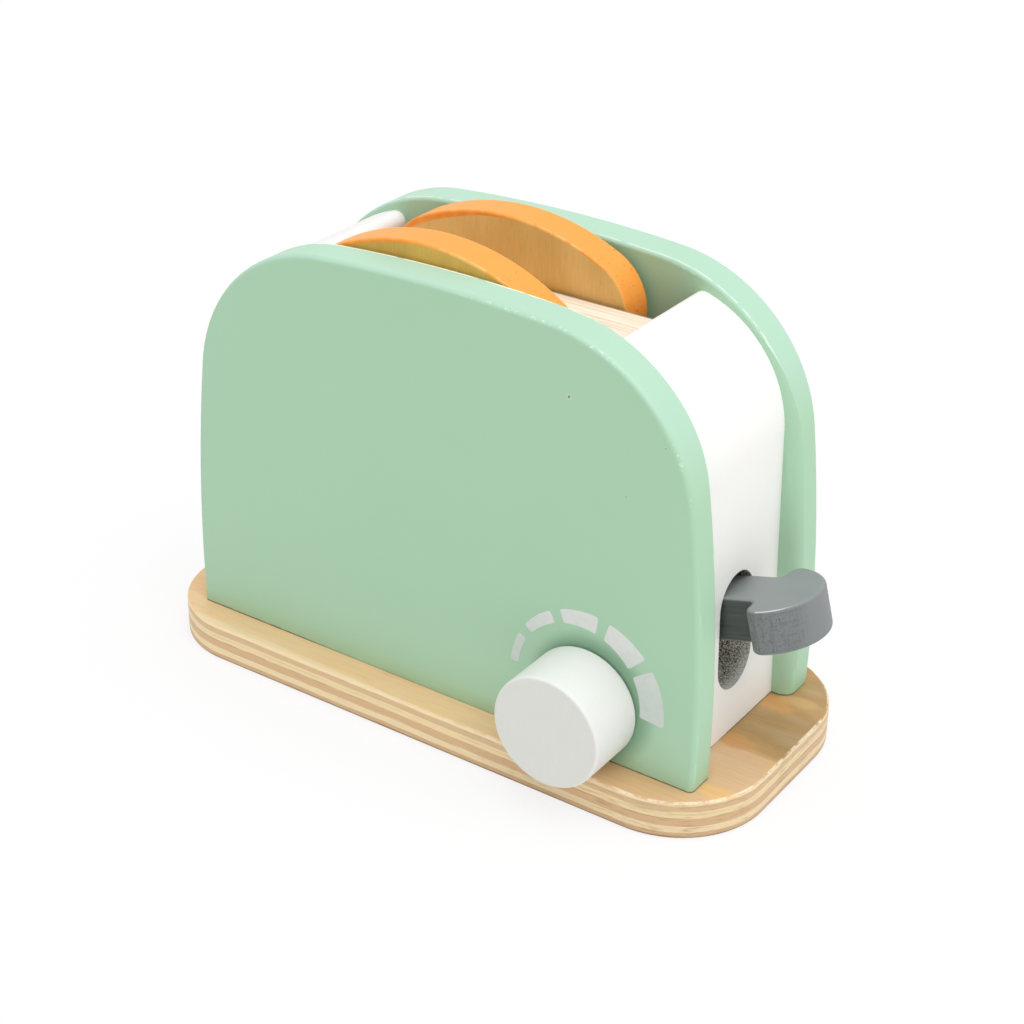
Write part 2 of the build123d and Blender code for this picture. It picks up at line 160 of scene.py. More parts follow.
# %% A graph that adds any node in one way
class Graph:
    """Adds nodes to one tree, which it empties first."""

    def __init__(self, tree):
        self.tree = tree
        tree.nodes.clear()

    def add(self, kind, settings=None, inputs=None, output=0):
        node = self.tree.nodes.new(kind)
        for name, value in (settings or {}).items():
            if name == "stops":
                self.set_stops(node.color_ramp, value)
            else:
                setattr(node, name, value)
        for key, value in (inputs or {}).items():
            if isinstance(value, Wire):
                self.tree.links.new(value.socket, node.inputs[key])
            else:
                node.inputs[key].default_value = value
        return Wire(self, node.outputs[output]) if len(node.outputs) else node

    @staticmethod
    def set_stops(ramp, stops):
        ramp.elements.remove(ramp.elements[-1])
        ramp.elements[0].position, ramp.elements[0].color = stops[0]
        for position, colour in stops[1:]:
            ramp.elements.new(position).color = colour

    def math(self, operation, *values):
        return self.add("ShaderNodeMath", {"operation": operation}, dict(enumerate(values)))

    def split(self, vector):
        parts = self.add("ShaderNodeSeparateXYZ", inputs={0: vector})
        return parts["X"], parts["Y"], parts["Z"]

    def join(self, x, y, z):
        return self.add("ShaderNodeCombineXYZ", inputs={"X": x, "Y": y, "Z": z})

    def smooth(self, value, low, high, to_low=0.0, to_high=1.0):
        """An S-shaped step from to_low to to_high as the value goes from low to high."""
        inputs = {"Value": value, "From Min": low, "From Max": high, "To Min": to_low, "To Max": to_high}
        return self.add("ShaderNodeMapRange", {"interpolation_type": "SMOOTHSTEP"}, inputs)


# %% [markdown]
# ## One class for every finish
# Each finish is a Principled shader whose colour, roughness and height are worked out from the place on the
# toy. The solids' own places are in their meshes, so with Object coordinates a pattern stays on its wood
# when the lever tips or the toast rises, and its sizes are real ones, such as a pore 0.13 mm wide.

# %% The finish class
class Finish(Graph):
    """A material: a Principled shader, and helpers that speak in millimetres."""

    def __init__(self, name, constants):
        self.material = bpy.data.materials.new(name)
        self.material.use_nodes = True
        super().__init__(self.material.node_tree)
        self.shader = self.add("ShaderNodeBsdfPrincipled", inputs=constants)
        self.add("ShaderNodeOutputMaterial", inputs={"Surface": self.shader})
        coordinates = self.add("ShaderNodeTexCoord", output="Object")
        self.place = self.mapped(coordinates, scale=(1 / METRES,) * 3)
        self.x, self.y, self.z = self.split(self.place)
        self.normal = coordinates["Normal"]
        self.normal_x, self.normal_y, self.normal_z = self.split(self.normal)

    def mapped(self, vector, shift=(0, 0, 0), turn=(0, 0, 0), scale=(1, 1, 1), kind="POINT"):
        inputs = {"Vector": vector, "Location": shift, "Rotation": turn, "Scale": scale}
        return self.add("ShaderNodeMapping", {"vector_type": kind}, inputs)

    def noise(self, size, place=None, stretch=(1, 1, 1), detail=3, rough=0.5, seed=0):
        """Smooth noise around 0.5 with blobs of this size; stretch makes them longer along an axis."""
        scale = [1 / (size * longer) for longer in stretch]
        moved = self.mapped(place or self.place, shift=(seed * 7.3, seed * 3.1, seed * 5.7), scale=scale)
        inputs = {"Vector": moved, "Scale": 1.0, "Detail": detail, "Roughness": rough}
        return self.add("ShaderNodeTexNoise", inputs=inputs)

    def blend(self, share, colour_a, colour_b):
        """Colour a where the share is 0, colour b where it is 1."""
        inputs = {0: share, 6: colour_a, 7: colour_b}
        return self.add("ShaderNodeMix", {"data_type": "RGBA"}, inputs, output=2)

    def darken(self, colour, factor):
        """The colour times a factor."""
        return self.add("ShaderNodeVectorMath", {"operation": "SCALE"}, {0: colour, 3: factor})

    def distance(self, place, point):
        return self.add("ShaderNodeVectorMath", {"operation": "DISTANCE"}, {0: place, 1: point}, "Value")

    def bumped(self, height):
        """Raises the surface by this height in millimetres."""
        return self.add("ShaderNodeBump", inputs={"Height": height, "Strength": 1.0, "Distance": METRES})

    def with_contact_shadow(self, colour):
        """The colour with a thin dark line where the piece meets the base board, broken here and there: a
        painted contact shadow.
        """
        wavy_height = self.z + self.noise(1.5) * 0.3
        # painted contact shadow along the foot of the piece
        line = self.smooth(wavy_height, board_top + 0.6, board_top + 0.3)
        broken = self.smooth(self.noise(14, seed=9), 0.3, 0.55, 0.5, 1.0)
        near_ends = self.smooth(abs(self.x), 16, 40, 0.35, 1.0)
        return self.blend(line * broken * near_ends * 0.8, colour, tint(84, 66, 42))

    def feed(self, **sockets):
        """Links wires to the shader, such as feed(Base_Color=wire)."""
        for name, wire in sockets.items():
            self.tree.links.new(wire.socket, self.shader.socket.node.inputs[name.replace("_", " ")])


def dress(finish, *nodes):
    """Puts a finish on solids of the CAD model."""
    for node in nodes:
        for material_slot in frame["nodes"][node].material_slots:
            material_slot.material = finish.material
    print(f"{finish.material.name}: {', '.join(nodes)}")


# %% [markdown]
# ## Pale green paint on the two panels
# Satin paint on sanded board is never one colour. It clouds a little over centimetres, and it is rubbed to
# pale flecks along the rounded rim. The crown is given a lighter tone than the upright faces, as painted
# light from above. A broken pale line along the inner edges is partly worn paint and partly a painted
# highlight. Low down the paint is darker and olive, as painted shade with a little painted bounce from the
# board, and a dark ring on the panel round the knob is a painted shadow. The rounding of the rim is real
# geometry, so its normal tells the shader where it is.

# %% Pale green paint
# x, z and radius of three specks of dust in the front panel's paint
dust_specks = [(31.3, 81.3, 0.3), (51.3, 77.0, 0.15), (43.8, 65.3, 0.15)]
knob_shadow_centre = (knob_x + 1.2, panel_face_y, knob_z + 0.8)


def with_rim_wear_and_highlight(paint, colour, on_top):
    """Rubbed flecks on the outer rounding, and pale broken lines along the inner edges of the crown that are
    partly worn paint and partly a painted highlight.
    """
    side = paint.math("SIGN", paint.y)
    outwards = paint.normal_y * side
    outer_round = paint.smooth(outwards, 0.45, 0.6) * paint.smooth(outwards, 0.93, 0.82)
    flecks = paint.smooth(paint.noise(0.6, detail=4, rough=0.7, seed=2), 0.53, 0.62)
    worn_parts = paint.smooth(paint.x, 2, 14) * paint.smooth(paint.z, 62, 76)
    worn_parts = worn_parts * paint.smooth(paint.noise(10, detail=2, seed=8), 0.36, 0.5)
    colour = paint.blend(outer_round * flecks * worn_parts * 0.7, colour, tint(236, 248, 238))

    # the pale lines along the inner edges are partly worn paint and partly a painted highlight
    dashes = paint.smooth(paint.noise(1.2, stretch=(3, 1, 1), seed=5), 0.35, 0.5) * on_top
    inner_round = paint.smooth(outwards, -0.15, -0.3) * paint.smooth(outwards, -0.62, -0.45)
    rear_edge_wear_and_highlight = inner_round * paint.smooth(side, -0.5, 0.5)
    colour = paint.blend(rear_edge_wear_and_highlight * dashes * 0.6, colour, tint(232, 250, 236))
    back_edge = paint.smooth(paint.y, front_high.y - 1.15, front_high.y - 0.95)
    front_edge_wear_and_highlight = back_edge * paint.smooth(paint.x, 40, 20) * paint.smooth(outwards, -0.75, -0.6)
    front_edge_wear_and_highlight = front_edge_wear_and_highlight * paint.smooth(side, 0.5, -0.5)
    return paint.blend(front_edge_wear_and_highlight * dashes, colour, tint(255, 255, 232))


def with_marks_and_painted_shade(paint, colour):
    """Painted shade above the board, a painted shadow in a ring round the knob, and specks of dust that the
    paint has caught.
    """
    # painted shade, with a little painted bounce light from the board: the paint is darker and olive low
    # down
    low = paint.smooth(paint.z + paint.noise(3) * 2, board_top + 5, board_top + 1)
    low_shade = low * paint.smooth(paint.noise(16, stretch=(2, 1, 1), detail=2, seed=7), 0.4, 0.65)
    colour = paint.blend(low_shade * 0.35, colour, tint(160, 180, 128))

    # painted shadow: a dark ring on the panel round the knob, a little off to its upper right
    from_knob = paint.distance(paint.place, knob_shadow_centre)
    knob_shadow = paint.smooth(from_knob, knob_radius + 3.5, knob_radius - 0.5)
    knob_shadow = knob_shadow * paint.smooth(paint.normal_y, -0.9, -1.0)
    colour = paint.blend(knob_shadow * 0.55, colour, tint(92, 138, 108))

    for x, z, radius in dust_specks:
        reach = paint.distance(paint.place, (x, panel_face_y, z))
        halo = paint.smooth(reach, radius * 2.2, radius * 1.4)
        speck = paint.smooth(reach, radius * 1.1, radius * 0.8)
        colour = paint.blend(halo * 0.25, colour, tint(232, 244, 232))
        colour = paint.blend(speck * 0.8, colour, tint(110, 120, 95))
    return colour


def make_green_paint():
    paint = Finish("pale_green_paint", {"Specular IOR Level": 0.4})
    clouds = paint.noise(34)
    skin = paint.noise(0.9)
    on_top = paint.smooth(paint.normal_z, 0.2, 0.6)
    upright_tone = paint.blend(clouds, tint(172, 211, 179), tint(178, 215, 184))
    # painted light: the crown, facing up, is given a lighter tone than the upright faces
    lit_crown_tone = paint.blend(clouds, tint(186, 220, 199), tint(178, 218, 192))
    colour = with_rim_wear_and_highlight(paint, paint.blend(on_top, upright_tone, lit_crown_tone), on_top)
    paint.feed(Base_Color=paint.with_contact_shadow(with_marks_and_painted_shade(paint, colour)))
    paint.feed(Roughness=paint.smooth(clouds, 0.3, 0.7, 0.42, 0.5))
    paint.feed(Normal=paint.bumped(skin * 0.012))
    return paint


dress(make_green_paint(), "front_panel", "rear_panel")


# %% [markdown]
# ## White paint on blocks and knob
# The end blocks and the knob are brushed white, the left block a little cooler than the right one, and the
# knob a shade greyer, most of all on its flat face. Its side towards +X is darker still, as painted shade.
# The right block is the interesting one: its mortise is bare. The sawn wood in it is grey and speckled, and
# the paint ends in a ragged line at its mouth. The mortise is a slot with round ends, and the distance from
# its middle line is found by clamping z between the two centres.

# %% White paint
def brushed_white(name, darker, lighter):
    """White brushed paint, and its colour so far."""
    paint = Finish(name, {"Roughness": 0.5, "Specular IOR Level": 0.35})
    streaks = paint.noise(0.5, stretch=(1, 1, 14))
    colour = paint.blend(paint.noise(22, detail=2), darker, lighter)
    colour = paint.darken(colour, paint.smooth(streaks, 0.2, 0.8, 0.985, 1.0))
    paint.feed(Normal=paint.bumped(streaks * 0.03 + paint.noise(1.2) * 0.015))
    return paint, colour


def speckled_wood(paint, depth):
    """The bare wall of the mortise, with a dusting of white paint low down at its mouth."""
    speckle = paint.noise(0.34, detail=4, rough=0.75)
    wood = paint.blend(paint.smooth(speckle, 0.42, 0.52), tint(74, 70, 60), tint(206, 200, 186))
    wood = paint.blend(paint.smooth(speckle, 0.54, 0.62), wood, tint(255, 253, 246))
    dusted = paint.smooth(depth, 3.0, 0.2) * paint.smooth(paint.z, 27, 20)
    return paint.blend(dusted * 0.6, wood, tint(255, 255, 252))


def make_block_paint():
    paint, colour = brushed_white("white_paint_with_bare_mortise", tint(249, 248, 244), tint(252, 251, 248))
    not_below = paint.math("MAXIMUM", paint.z, mortise_low_centre)
    centre_z = paint.math("MINIMUM", not_below, mortise_high_centre)
    from_axis = paint.math("SQRT", (paint.y - mortise_y) ** 2 + (paint.z - centre_z) ** 2)
    in_mortise = paint.smooth(from_axis, mortise_radius + 0.12, mortise_radius + 0.04)
    in_mortise = in_mortise * paint.smooth(paint.x, 0, 1)

    outer_face_x = block_high.x - (paint.z - board_top) * math.tan(block_lean)
    depth = outer_face_x - paint.x + (paint.noise(1.2, detail=4, rough=0.65) - 0.5) * 3
    bare = in_mortise * paint.smooth(depth, -1.6, -0.4)
    colour = paint.blend(paint.smooth(paint.x, 0, -10), colour, tint(242, 240, 240))
    colour = paint.blend(bare, colour, speckled_wood(paint, depth))
    paint.feed(Base_Color=paint.with_contact_shadow(colour))
    paint.feed(Roughness=0.5 + bare * 0.35)
    return paint


def make_knob_paint():
    paint, colour = brushed_white("white_paint_on_knob", tint(238, 238, 235), tint(242, 241, 239))
    # painted shade: the knob's side towards +X is a little darker
    colour = paint.darken(colour, paint.smooth(paint.normal_x, 0.2, 0.9, 1.0, 0.96))
    streaks = paint.noise(0.6, stretch=(1, 1, 9), seed=2)
    face = paint.blend(paint.noise(9, detail=2), tint(227, 226, 220), tint(231, 230, 225))
    face = paint.darken(face, 0.98 + streaks * 0.03)
    on_face = paint.smooth(paint.normal_y, -0.75, -0.92)
    paint.feed(Base_Color=paint.blend(on_face, colour, face))
    return paint


dress(make_block_paint(), "left_end_block", "right_end_block")
dress(make_knob_paint(), "knob")


# %% [markdown]
# ## Grey paint on the lever
# The lever is sawn from plywood and painted thinly. On top the paint lies smooth, but the open pores of the
# head's sawn edge drink it, and dark ticks and lines stay in rows. The neck's edge, which lies in the
# mortise, is made much darker as painted shade, with streaks along its plies, and the head's upper corner
# is paler. The lever rests at a tilt, so a Mapping node first turns the place back into the lever's own
# directions: along it, across it and up through its plies.

# %% Grey paint
def head_corner(paint, along, across, up):
    """1 along the upper corner of the head's round edge, on the side that faces the knob."""
    on_corner = paint.smooth(up, 0.88, 0.8) * paint.smooth(up, 0.6, 0.7)
    on_stretch = paint.smooth(along, 0.06, 0.16) * paint.smooth(along, 0.5, 0.4)
    return on_corner * on_stretch * paint.smooth(across, -0.2, -0.4)


def make_grey_paint():
    paint = Finish("thin_grey_paint", {"Specular IOR Level": 0.35})
    own = paint.mapped(paint.place, shift=pivot, turn=(0, -lever_tilt, 0), kind="TEXTURE")
    own_normal = paint.mapped(paint.normal, turn=(0, -lever_tilt, 0), kind="TEXTURE")
    along, across, up = paint.split(own_normal)
    on_edge = paint.smooth(abs(up), 0.75, 0.35)
    on_head = paint.smooth(paint.split(own)[0], head_back - 0.6, head_back + 0.4)

    clouds = paint.noise(7, own, stretch=(3, 1, 1))
    flat_tone = paint.blend(clouds, tint(133, 139, 139), tint(140, 146, 146))
    edge_tone = paint.blend(clouds, tint(126, 130, 131), tint(136, 140, 141))
    colour = paint.blend(on_edge, flat_tone, edge_tone)

    open_grain = on_edge * on_head * paint.smooth(along, 0.99, 0.75)
    pores = paint.noise(0.13, own, stretch=(1, 1, 2.2), rough=0.6)
    ticks = paint.smooth(pores, 0.54, 0.64) * open_grain
    streaks = paint.noise(0.35, own, stretch=(1, 1, 9), seed=3)
    layers = paint.noise(0.5, own, stretch=(12, 12, 1), seed=4)
    colour = paint.blend(ticks * 0.45, colour, tint(58, 59, 58))
    colour = paint.blend(paint.smooth(streaks, 0.48, 0.66) * open_grain * 0.3, colour, tint(84, 86, 85))
    colour = paint.blend(paint.smooth(layers, 0.5, 0.66) * open_grain * 0.2, colour, tint(84, 86, 85))

    # painted shade: the neck's edge, deep in the mortise, is made dark, with streaks along its plies
    neck_shade_tone = paint.blend(layers, tint(44, 48, 46), tint(88, 93, 91))
    colour = paint.blend(on_edge * (1 - on_head) * 0.9, colour, neck_shade_tone)
    # the head's upper corner is made paler
    pale_corner = head_corner(paint, along, across, up) * on_head
    colour = paint.blend(pale_corner * 0.75, colour, tint(220, 225, 225))

    paint.feed(Base_Color=colour)
    paint.feed(Roughness=0.48 + ticks * 0.3)
    paint.feed(Normal=paint.bumped(paint.noise(1.0, own) * 0.012 - ticks * 0.04))
    return paint


dress(make_grey_paint(), "lever")


# %% [markdown]
# ## Plywood for the base board
# A plywood edge is a stack of bands: pale veneers seen along the grain and brown ones seen across it, with
# thin glue lines between. The bands follow z, shaken a little by noise because no veneer is quite flat, and
# their fibres are torn at the right end, where the saw crossed them. A dark line along the edge's foot is a
# painted contact shadow. The flat sides are one veneer with its grain along X, paler in front and browner
# behind, the brown being partly the veneer and partly a painted shadow of the lever. A pale border along
# the front edge is a painted highlight, and there are pale chips along the upper corner.

# %% Plywood
# start and end of each ply, as shares of the board's thickness, and its colour
plies = [
    (0.00, 0.16, tint(222, 186, 142)),
    (0.20, 0.35, tint(250, 226, 182)),
    (0.39, 0.55, tint(226, 188, 144)),
    (0.59, 0.75, tint(250, 224, 176)),
    (0.78, 0.89, tint(228, 194, 150)),
    (0.93, 1.00, tint(250, 226, 182)),
]
ply_stops = [(place, colour) for start, end, colour in plies for place in (start, end)]
# height and strength of the glue lines
glue_lines = [(0.8, 0.3), (1.4, 0.35), (3.0, 0.45), (4.6, 0.5), (5.6, 0.25), (6.3, 0.3), (7.4, 0.35)]
# x, y, radius and colour of the veneer's stains
veneer_stains = [
    (57.9, 12.5, 3.5, tint(216, 160, 98)),
    (64.9, -20.6, 3, tint(240, 190, 124)),
    (62.9, 15.5, 2.5, tint(206, 168, 116)),
    (58.5, -3.5, 3, tint(210, 156, 94)),
]


def ply_edge(wood, height, fibres):
    """The sawn edge: the plies, torn fibres towards the right end, and dark glue lines."""
    bands = wood.add("ShaderNodeValToRGB", {"stops": ply_stops}, {"Fac": height / board_top})
    brightness = wood.smooth(fibres, 0.25, 0.75, 0.96, 1.05) * wood.smooth(wood.x, 30, 62, 1.0, 0.9)
    edge = wood.darken(bands, brightness)
    torn = wood.smooth(wood.noise(0.32, stretch=(14, 14, 1), detail=4, rough=0.65, seed=12), 0.53, 0.66)
    edge = wood.blend(torn * wood.smooth(wood.x, 0, 50) * 0.45, edge, tint(158, 120, 76))
    for number, (glue_height, strength) in enumerate(glue_lines):
        broken = wood.smooth(wood.noise(6, stretch=(1, 1, 0.4), seed=number), 0.38, 0.6)
        line = wood.smooth(abs(height - glue_height), 0.13, 0.03)
        edge = wood.blend(line * broken * strength, edge, tint(150, 104, 66))
    return edge


def flat_veneer(wood, grain):
    """The flat side: pale in front and brown behind, the brown partly a painted shadow of the lever, with
    broad soft tones, stains and a painted highlight along the front edge.
    """
    # the brown behind the seam is partly the veneer and partly a painted shadow of the lever
    seam = wood.y + (wood.noise(4, stretch=(5, 1, 1)) - 0.5) * 6
    front_tone = wood.blend(wood.smooth(wood.x, 30, 52), tint(244, 205, 157), tint(222, 184, 142))
    veneer = wood.blend(wood.smooth(seam, -5.5, -3.0), front_tone, tint(176, 141, 91))
    broad = wood.noise(7, stretch=(3, 1, 1), seed=3)
    veneer = wood.blend(wood.smooth(broad, 0.45, 0.65) * 0.25, veneer, tint(226, 176, 112))
    veneer = wood.blend(wood.smooth(broad, 0.5, 0.3) * 0.15, veneer, tint(222, 206, 178))
    for x, y, radius, colour in veneer_stains:
        half_as_long = wood.mapped(wood.place, shift=(-x / 2, -y, 0), scale=(0.5, 1, 0))
        reach = wood.distance(half_as_long, (0, 0, 0)) + (wood.noise(3) - 0.5) * 3
        veneer = wood.blend(wood.smooth(reach, radius, radius * 0.5) * 0.75, veneer, colour)
    # painted highlight: a pale band on the top along its front edge, wider at the left
    front_edge_highlight_width = wood.smooth(wood.x, -50, 10, 2.4, 0.5)
    front_edge_highlight = wood.smooth((wood.y - base_low.y) / front_edge_highlight_width, 1.2, 0.5) * wood.smooth(wood.x, 20, -10)
    veneer = wood.blend(front_edge_highlight * 0.6, veneer, tint(250, 226, 190))
    return wood.darken(veneer, wood.smooth(grain, 0.3, 0.75, 1.02, 0.93))


def with_chips(wood, colour):
    """Pale splinters along the upper corner, more of them towards the right end."""
    splinters = wood.noise(0.7, stretch=(2, 2, 1), detail=4, rough=0.7, seed=6)
    at_corner = wood.smooth(wood.z + splinters * 1.6, board_top + 0.45, board_top + 0.7)
    at_corner = at_corner * wood.smooth(wood.normal_z, 0.995, 0.9)
    chipped_parts = wood.smooth(wood.noise(3, seed=8), 0.4, 0.55) * wood.smooth(wood.x, -30, 30)
    return wood.blend(at_corner * chipped_parts * 0.75, colour, tint(250, 234, 206))


def make_plywood():
    wood = Finish("lacquered_plywood", {"Specular IOR Level": 0.4})
    waves = (wood.noise(26, stretch=(1, 1, 6)) - 0.5) * 0.7
    ragged = (wood.noise(1.1, stretch=(5, 5, 1), seed=2) - 0.5) * 0.25
    height = wood.z + waves + ragged
    fibres = wood.noise(0.3, stretch=(12, 12, 0.7), detail=4, rough=0.6)
    grain = wood.noise(0.5, stretch=(16, 1, 1), detail=4, rough=0.6)
    on_flat = wood.smooth(abs(wood.normal_z), 0.55, 0.8)
    colour = wood.blend(on_flat, ply_edge(wood, height, fibres), flat_veneer(wood, grain))
    colour = with_chips(wood, colour)
    # painted contact shadow: a dark line along the foot of the board's edge
    foot_shadow = wood.smooth(height, 0.8, 0.45) * (1 - on_flat)
    wood.feed(Base_Color=wood.blend(foot_shadow * 0.75, colour, tint(104, 80, 58)))
    wood.feed(Roughness=wood.smooth(fibres, 0.3, 0.7, 0.4, 0.55))
    wood.feed(Normal=wood.bumped(fibres * 0.03 + grain * 0.015))
    return wood


dress(make_plywood(), "base_board")


# %% [markdown]
# ## Bare pine inside
# The divider, the tray and its rails are planed and left bare. Pine shows long growth lines, so the noise
# is stretched along X until its blobs become streaks that run the length of a batten. The divider's rear
# corner, beside the gap where the slice stands, is made dark brown as painted shade. It is the only pine
# that high up, so y and z alone find it.

# %% Pine
def make_pine():
    wood = Finish("bare_pine", {"Specular IOR Level": 0.3})
    lines = wood.noise(0.32, stretch=(110, 1, 1), detail=2)
    fine = wood.noise(0.25, stretch=(30, 1, 1))
    colour = wood.blend(wood.smooth(lines, 0.35, 0.65), tint(253, 243, 226), tint(246, 230, 208))
    colour = wood.blend(wood.smooth(lines, 0.51, 0.6) * 0.45, colour, tint(218, 182, 150))
    # painted shade: the divider's rear corner beside the slice's gap is made dark brown
    gap_shade = wood.smooth(wood.y, divider_high.y - 1.0, divider_high.y - 0.3) * wood.smooth(wood.z, 60, 70)
    colour = wood.blend(gap_shade * 0.8, colour, tint(110, 70, 42))
    colour = wood.darken(colour, wood.smooth(fine, 0.3, 0.7, 0.96, 1.02))
    wood.feed(Base_Color=colour)
    wood.feed(Roughness=wood.smooth(lines, 0.4, 0.65, 0.62, 0.52))
    wood.feed(Normal=wood.bumped(lines * 0.04 + fine * 0.02))
    return wood


dress(make_pine(), "centre_divider", "toast_tray", "front_tray_rail", "rear_tray_rail")


# %% [markdown]
# ## Toasted bread, in wood
# Each slice is a board with bare faces and an orange rim. The brush never stops exactly at the corner, so
# the border is a distance from the slice's outline with noise on it, wider at the left. The crown is an
# arc, so that distance is one subtraction from its radius. The orange is deeper lower down, as painted
# shade; its corners carry a painted highlight at the left and painted shade at the right; and it is
# nicked, most at the right.

# %% Toast
dome_radius = 48.0


def painted_share(wood, low, high, left_border):
    """1 on the rim and on the border that the brush left round a face, 0 on bare wood."""
    middle_x = (low.x + high.x) / 2
    crown_centre = high.z - dome_radius
    from_centre = wood.math("SQRT", (wood.x - middle_x) ** 2 + (wood.z - crown_centre) ** 2)
    from_side = (high.x - low.x) / 2 - abs(wood.x - middle_x)
    inside = wood.math("MINIMUM", dome_radius - from_centre, from_side)
    brush_line = (wood.noise(6, detail=2, seed=3) - 0.5) * 0.3
    ragged = (wood.noise(0.5, detail=4, rough=0.6) - 0.5) * 0.35 + brush_line
    border = wood.smooth(wood.x, middle_x - 16, middle_x + 4, left_border, 0.5)
    on_border = wood.smooth(inside + ragged - border, 0.1, -0.04)
    return wood.math("MAXIMUM", on_border, wood.smooth(abs(wood.normal_y), 0.93, 0.8))


def bare_face(wood, pale, brown, grain):
    """Upright grain with short dark flecks."""
    face = wood.blend(wood.smooth(wood.noise(9, stretch=(1, 1, 3), detail=2), 0.35, 0.65), pale, brown)
    flecks = wood.smooth(wood.noise(0.35, stretch=(1, 1, 7), seed=4), 0.6, 0.72)
    face = wood.darken(face, wood.smooth(grain, 0.3, 0.7, 1.03, 0.95))
    return wood.darken(face, 1 - flecks * 0.12)


def orange_coat_and_shade(wood, middle_x, top_z, nicks):
    """The rim's paint, with painted shade deeper lower down, and on its corners a painted highlight at the
    left and painted shade at the right.
    """
    rim_tone = wood.blend(wood.noise(7), tint(254, 172, 76), tint(252, 164, 66))
    # painted shade: the orange is deeper lower down
    rim_tone = wood.blend(wood.smooth(wood.z, top_z - 5, top_z - 16) * 0.8, rim_tone, tint(253, 150, 58))
    # painted highlight on the corners at the left, painted shade on them at the right
    on_corner = wood.smooth(abs(wood.normal_y), 0.15, 0.4)
    corner_highlight_and_shade = on_corner * wood.smooth(wood.noise(2, seed=6), 0.35, 0.55)
    corner_highlight_and_shade = corner_highlight_and_shade * wood.smooth(wood.x, middle_x + 20, middle_x + 14, 0.15, 0.7)
    to_right = wood.smooth(wood.x, middle_x - 6, middle_x + 10)
    rim_tone = wood.blend(corner_highlight_and_shade, rim_tone, wood.blend(to_right, tint(252, 148, 50), tint(255, 206, 128)))
    return wood.blend(nicks * 0.6, rim_tone, tint(166, 92, 36))


def make_toast(node, pale, brown, left_border):
    wood = Finish(f"{node}_wood", {"Specular IOR Level": 0.35})
    low, high = corners(node)
    middle_x = (low.x + high.x) / 2
    painted = painted_share(wood, low, high, left_border)
    grain = wood.noise(0.3, stretch=(1, 1, 22), detail=4, rough=0.65)
    nick_level = wood.smooth(wood.x, middle_x, middle_x + 24, 0.7, 0.62)
    nicks = wood.smooth(wood.noise(0.5, detail=4, rough=0.7, seed=5) - nick_level, 0.0, 0.05)
    face = bare_face(wood, pale, brown, grain)
    wood.feed(Base_Color=wood.blend(painted, face, orange_coat_and_shade(wood, middle_x, high.z, nicks)))
    wood.feed(Roughness=0.58 - painted * 0.12)
    fuzz = grain * (1 - painted) * 0.04 + wood.noise(0.8) * 0.02
    wood.feed(Normal=wood.bumped(fuzz - nicks * painted * 0.06))
    return wood


dress(make_toast("toast_front", tint(224, 184, 92), tint(216, 172, 82), left_border=0.8), "toast_front")
dress(make_toast("toast_rear", tint(240, 196, 122), tint(230, 184, 108), left_border=1.4), "toast_rear")


# %% [markdown]
# ## Beech for dowels, pegs and the crossbar
# Turned beech is plain and close, with short dark flecks. Some of these pieces lie along X and some along
# Y, so the flecks are stretched a little along both.

# %% Beech
def make_beech():
    wood = Finish("bare_beech", {"Specular IOR Level": 0.35})
    flecks = wood.smooth(wood.noise(0.35, stretch=(3, 3, 1)), 0.6, 0.7)
    tone = wood.noise(4, stretch=(3, 3, 1))
    colour = wood.blend(tone, tint(222, 186, 142), tint(212, 172, 126))
    wood.feed(Base_Color=wood.blend(flecks * 0.5, colour, tint(160, 112, 70)))
    wood.feed(Roughness=wood.smooth(tone, 0.3, 0.7, 0.45, 0.58))
    wood.feed(Normal=wood.bumped(tone * 0.02 - flecks * 0.03))
    return wood


beech = make_beech()
dress(beech, "divider_dowels", "panel_dowels", "pivot_spacers", "lift_bar", "lift_bar_pegs")


# %% [markdown]
# ## Zinc-plated steel
# Metal has no colour of its own under its reflections: it is what it mirrors, times a tint. What makes it
# look real is that the mirror is uneven, so the roughness varies and fine drawing marks run over it.

# %% Steel
def make_steel():
    metal = Finish("zinc_plated_steel", {"Metallic": 1.0})
    marks = metal.noise(0.3, stretch=(1, 8, 1))
    colour = metal.blend(metal.noise(2.5), tint(206, 206, 204), tint(190, 191, 194))
    metal.feed(Base_Color=colour)
    metal.feed(Roughness=metal.smooth(marks, 0.3, 0.7, 0.24, 0.4))
    metal.feed(Normal=metal.bumped(marks * 0.008))
    return metal


steel = make_steel()
dress(steel, "pivot_pin", "knob_washer")


# %% [markdown]
# ## The printed dial
# Five pale marks run round the knob, on a circle whose centre lies a little above the knob's. They widen
# clockwise, each is longer than the one before, and their corners are soft. They follow one rule, and a
# rule is what Geometry Nodes is for. The tree draws a rounded bar for each mark on a straight strip, and
# then wraps the strip round the knob: distance along it becomes an angle, and height above it a radius.

# %% Sizes of the dial
dial_outer_radius = 17.1
dial_depths = (1.8, 5.2)
dial_centre_above_knob = 1.75
dial_first_angle = math.radians(177)
dial_gap = math.radians(8.2)
dial_spans = [math.radians(span) for span in (23.5, 25.5, 29, 31.5, 40)]
dial_corner_radius = 0.5
print_thickness = 0.06
print(f"dial: {len(dial_spans)} marks, {dial_depths[0]} mm deep at first and {dial_depths[1]} mm at last")


# %% [markdown]
# A Geometry Nodes tree is built like a shader, with the same `add`, but it also has an interface: named
# inputs that a modifier can set. Each input is set by its identifier, because the modifier stores it under
# that and not its name.

# %% A geometry tree with named inputs
weld_distance = 0.001


def add_object(name, data):
    """A new object in the scene."""
    added = bpy.data.objects.new(name, data)
    bpy.context.scene.collection.objects.link(added)
    return added


